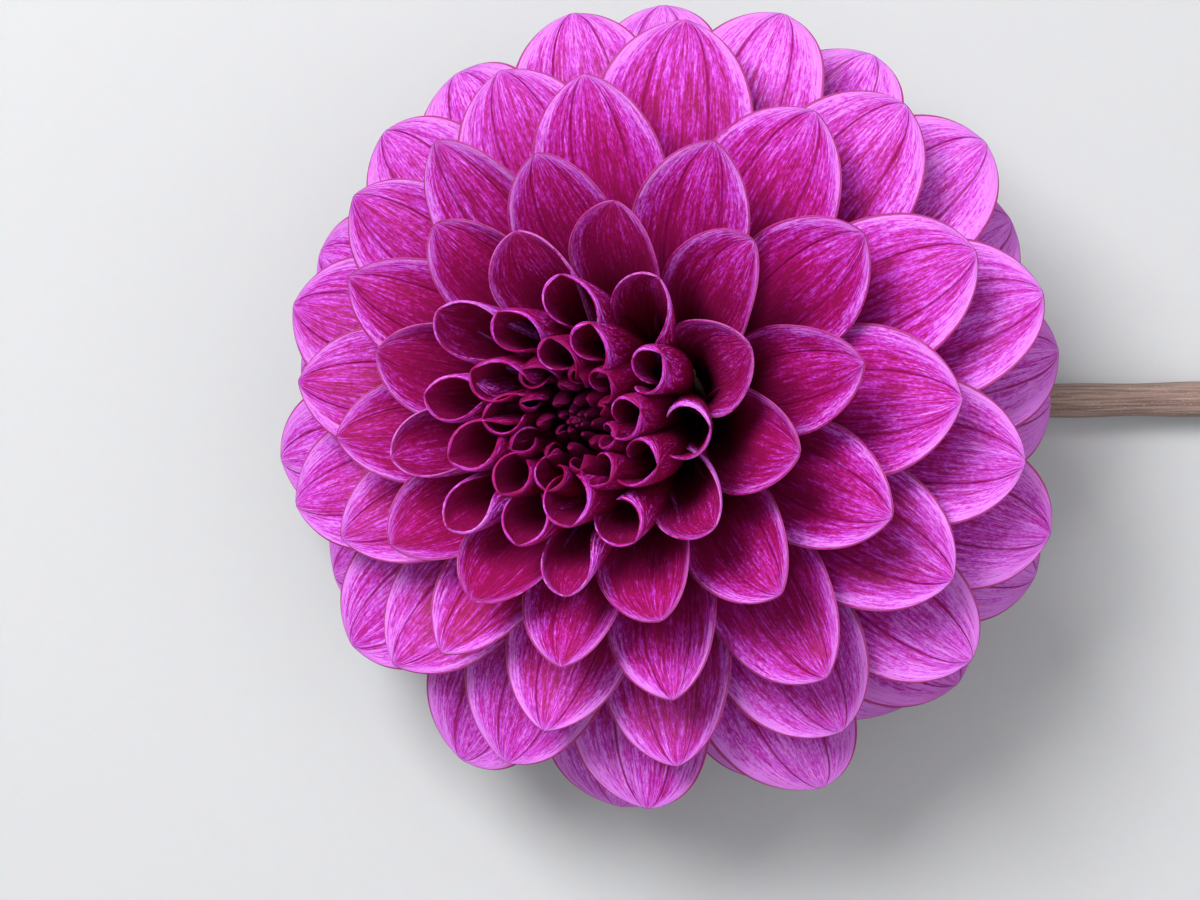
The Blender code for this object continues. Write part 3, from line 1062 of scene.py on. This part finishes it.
@dataclass
class Rod:
    """A round bar cut into rings, which is then drawn along a line."""

    name: str
    rings: int
    round_faces: int = 32

    def blank(self, hollow: float = 0.0, depth: float = 0.0) -> bpy.types.Object:
        """Adds the bar, of radius 1 and from z = 0 to z = 1, and hollows its top end.

        Args:
            hollow: The share of the radius that the hollow takes.
            depth: How deep the hollow is, as a share of the length.

        Returns:
            The bar.
        """
        bpy.ops.object.select_all(action="DESELECT")
        bpy.ops.mesh.primitive_cylinder_add(
            vertices=self.round_faces, radius=1.0, depth=1.0, location=(0, 0, 0.5)
        )
        piece = bpy.context.object
        piece.name = piece.data.name = self.name
        bpy.ops.object.transform_apply(location=True)
        for edge in piece.data.edges:
            ends = [piece.data.vertices[index].co.z for index in edge.vertices]
            edge.select = abs(ends[0] - ends[1]) > NEARLY_ONE
        for part in (*piece.data.polygons, *piece.data.vertices):
            part.select = False
        bpy.ops.object.mode_set(mode="EDIT")
        bpy.ops.mesh.select_mode(type="EDGE")
        bpy.ops.mesh.subdivide(number_cuts=self.rings)
        bpy.ops.object.mode_set(mode="OBJECT")
        if hollow:
            self.hollow_out(piece, hollow, depth)
        return piece

    @staticmethod
    def hollow_out(piece: bpy.types.Object, hollow: float, depth: float) -> None:
        """Insets the top face and pushes it down into the bar."""
        for part in (*piece.data.vertices, *piece.data.edges):
            part.select = False
        for face in piece.data.polygons:
            face.select = face.normal.z > NEARLY_ONE and face.center.z > NEARLY_ONE
        bpy.ops.object.mode_set(mode="EDIT")
        bpy.ops.mesh.select_mode(type="FACE")
        bpy.ops.mesh.inset(thickness=1 - hollow, depth=0)
        bpy.ops.mesh.extrude_region_move(TRANSFORM_OT_translate={"value": (0, 0, -depth)})
        bpy.ops.object.mode_set(mode="OBJECT")

    @staticmethod
    def round_places(piece: bpy.types.Object) -> tuple[Array, Array, Array]:
        """Where each vertex of the bar is: its height, its turn and its reach from the axis."""
        flat = places(piece.data)
        reach = np.minimum(np.hypot(flat[:, 0], flat[:, 1]), 1.0)
        return flat[:, 2], np.arctan2(flat[:, 1], flat[:, 0]), reach


@dataclass
class Stem:
    """The stem, from its bent neck under the head to its cut end."""

    head: Head
    radius: float = 0.0027
    swell: float = 0.0011
    swell_run: float = 0.06
    foot: float = -0.0258
    neck_drop: float = 0.0045
    bend_radius: float = 0.010
    bend_steps: int = 12
    fall: float = math.radians(2.0)
    end_x: float = 0.1021
    end_y: float = 0.0022
    straight_steps: int = 20
    rings: int = 90
    hollow: float = 0.52
    hollow_depth: float = 0.04
    ridge: float = 0.00010
    ridges: int = 11
    ridge_lead: float = 3.0
    sways: tuple[tuple[float, float, float], ...] = ((0.00008, 23.0, 0.0), (0.00006, 57.0, 1.0))
    floor_room: float = 0.0001
    rim_reach: float = 0.9
    cut_from: float = 0.9995
    cut_tone: float = 0.85
    grain_round: float = 2.0

    def line(self) -> Array:
        """Points along the middle of the stem."""
        down = -self.head.in_place().col[2].to_3d()
        top = self.head.centre - self.foot * down
        bend_start = top + self.neck_drop * down
        first = math.atan2(down.z, down.x)
        points = [top, top.lerp(bend_start, 0.5), bend_start]
        for step in range(1, self.bend_steps + 1):
            angle = first + (-self.fall - first) * step / self.bend_steps
            side = self.bend_radius * (math.sin(angle) - math.sin(first))
            drop = self.bend_radius * (math.cos(first) - math.cos(angle))
            points.append(bend_start + Vector((side, 0.0, drop)))
        end = Vector((self.end_x, self.end_y, self.radius))
        shares = np.linspace(1 / self.straight_steps, 1.0, self.straight_steps)
        points += [points[-1].lerp(end, share) for share in shares]
        return np.array(points)

    def thickness(self, share: Array, turn: Array) -> Array:
        """The radius at shares of the length and turns round the middle."""
        radius = self.radius + self.swell * (1 - smooth(0.0, self.swell_run, share))
        ridges = np.sin(turn * self.ridges + self.ridge_lead * share) - 1
        sway = sum(size * np.sin(share * pace + lead) for size, pace, lead in self.sways)
        return radius + self.ridge * ridges + sway

    def build(self) -> None:
        """Makes the stem."""
        piece = Rod("cut_stem", self.rings).blank(self.hollow, self.hollow_depth)
        height, turn, reach = Rod.round_places(piece)
        share = np.clip(height, 0, 1)
        line = self.line()
        run = run_of(line)
        where = share * run[-1]
        step = unit(read_off(np.gradient(line, run, axis=0), run, where))
        sideways = np.tile(np.array([0.0, 1.0, 0.0]), (len(share), 1))
        upwards = np.cross(step, sideways)
        outward = np.cos(turn)[:, None] * sideways + np.sin(turn)[:, None] * upwards
        radius = reach * self.thickness(share, turn)
        points = read_off(line, run, where) + outward * radius[:, None]
        points[:, 2] = np.maximum(points[:, 2], self.floor_room)
        piece.data.vertices.foreach_set("co", points.ravel())
        cut = (reach < self.rim_reach) | (share > self.cut_from)
        hold(piece.data, "along", share)
        hold(piece.data, "inside", cut.astype(float) * self.cut_tone)
        around = turn * self.radius / MILLIMETRE
        grain = [around, where / MILLIMETRE, np.cos(turn) * self.grain_round]
        hold(piece.data, "grain", np.stack(grain, axis=1))
        piece.data.materials.append(StemFinish().material())
        face_out(piece)
        hand_over(piece, "stem_brown", ["stem"])
        LOG.info("stem: %.0f mm", run[-1] / MILLIMETRE)


@dataclass
class Receptacle:
    """The domed end of the stem that the florets stand on, with painted shade above and pale at its
    shoulder.
    """

    head: Head
    shoulder: tuple[float, float] = (0.0092, -0.0225)
    foot: tuple[float, float] = (0.0041, -0.0255)
    rings: int = 26
    round_faces: int = 48
    seat_rings: int = 30
    first_seat: float = 0.4
    least_radius: float = 0.0002
    pock: float = 0.00012
    pocks_round: int = 21
    pocks_slant: float = 60.0
    pocks_down: float = 50.0
    painted_shade_ends: Range = (0.86, 0.95)
    pale_margin: float = 5.0

    def profile(self) -> Array:
        """Radius and height from the top to the foot, just inside the florets' seats."""
        numbers = np.linspace(self.first_seat, self.head.florets, self.seat_rings)
        seats = np.array([self.head.seat(number) for number in numbers])
        seats[:, 0] -= self.head.seat_gap
        return np.array([*seats, self.shoulder, self.foot])

    def build(self) -> None:
        """Makes the receptacle."""
        piece = Rod("receptacle_dome", self.rings, self.round_faces).blank()
        upwards, turn, reach = Rod.round_places(piece)
        share = 1 - upwards
        profile = self.profile()
        radius, height = read_off(profile, np.linspace(0, 1, len(profile)), share).T
        slant = np.sin(turn * self.pocks_round + share * self.pocks_slant)
        radius = radius - self.pock * (1 + slant * np.sin(share * self.pocks_down))
        radius = np.maximum(radius, self.least_radius) * reach
        points = np.stack([radius * np.cos(turn), radius * np.sin(turn), height], axis=1)
        piece.data.vertices.foreach_set("co", self.head.carry(points, 0.0).ravel())
        # Above the pale shoulder the finish lays painted shade, which shows between the florets.
        pale = smooth(*self.painted_shade_ends, share)
        hold(piece.data, "along", 1 - pale)
        hold(piece.data, "margin", self.pale_margin * pale)
        grain = [turn * radius / MILLIMETRE, height / MILLIMETRE, np.cos(turn)]
        hold(piece.data, "grain", np.stack(grain, axis=1))
        piece.data.materials.append(RECEPTACLE_SKIN.material())
        face_out(piece)
        hand_over(piece, "receptacle_pale", ["receptacle"])
        LOG.info("receptacle")


# ---- studio ----


@dataclass(frozen=True)
class Lamp:
    """A square area light."""

    name: str
    place: Colour
    energy: float
    size: float
    tint: Colour

    def build(self, target: Vector) -> None:
        """Adds the light, facing the target."""
        bpy.ops.object.light_add(type="AREA", location=self.place)
        lamp = bpy.context.object
        lamp.name = self.name
        lamp.data.energy = self.energy
        lamp.data.size = self.size
        lamp.data.color = self.tint
        lamp.rotation_euler = (target - Vector(self.place)).to_track_quat("-Z", "Y").to_euler()


@dataclass
class Studio:
    """The floor, the lights and the camera."""

    head: Head
    floor_size: float = 4.0
    view_width: float = 0.171
    view_offset: tuple[float, float] = (-0.0060, -0.0055)
    distance: float = 0.42
    sensor: float = 36.0
    sky: Colour = (0.94, 0.97, 1.0)
    sky_strength: float = 0.42
    lamps: tuple[Lamp, ...] = (
        Lamp("key_light", (-0.30, 0.28, 0.66), 9.0, 0.30, (0.97, 0.98, 1.0)),
        Lamp("fill_light", (0.55, -0.30, 0.60), 2.0, 0.7, (0.94, 0.96, 1.0)),
        Lamp("top_light", (0.0, 0.1, 0.9), 3.0, 0.8, (1.0, 1.0, 1.0)),
    )

    def lay_floor(self) -> None:
        """Adds the floor."""
        bpy.ops.object.select_all(action="DESELECT")
        bpy.ops.mesh.primitive_plane_add(size=self.floor_size, location=(0, 0, 0))
        floor = bpy.context.object
        floor.name = "floor"
        floor.data.materials.append(FloorFinish().material())

    def light_sky(self) -> None:
        """Lights the scene from all sides."""
        world = bpy.data.worlds.new("studio")
        bpy.context.scene.world = world
        world.use_nodes = True
        background = world.node_tree.nodes["Background"]
        background.inputs["Color"].default_value = (*self.sky, 1.0)
        background.inputs["Strength"].default_value = self.sky_strength

    def place_camera(self) -> None:
        """Looks straight down on the head."""
        centre = self.head.centre
        place = (centre.x + self.view_offset[0], centre.y + self.view_offset[1])
        bpy.ops.object.camera_add(location=(*place, centre.z + self.distance))
        camera = bpy.context.object
        camera.rotation_euler = (0, 0, 0)
        camera.data.sensor_width = self.sensor
        camera.data.lens = self.sensor * self.distance / self.view_width
        bpy.context.scene.camera = camera
        bpy.context.scene.view_settings.view_transform = "Standard"

    def build(self) -> None:
        """Makes the studio."""
        self.lay_floor()
        for lamp in self.lamps:
            lamp.build(self.head.centre)
        self.light_sky()
        self.place_camera()
        LOG.info("studio")


def main() -> None:
    """Builds every piece, then the studio."""
    logging.basicConfig(level=logging.INFO, format="%(message)s")
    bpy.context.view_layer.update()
    head = Head()
    Florets(head).build()
    for ring in (INNER_BRACTS, OUTER_BRACTS):
        ring.build(head)
    Receptacle(head).build()
    Stem(head).build()
    Studio(head).build()


if __name__ == "__main__":
    main()
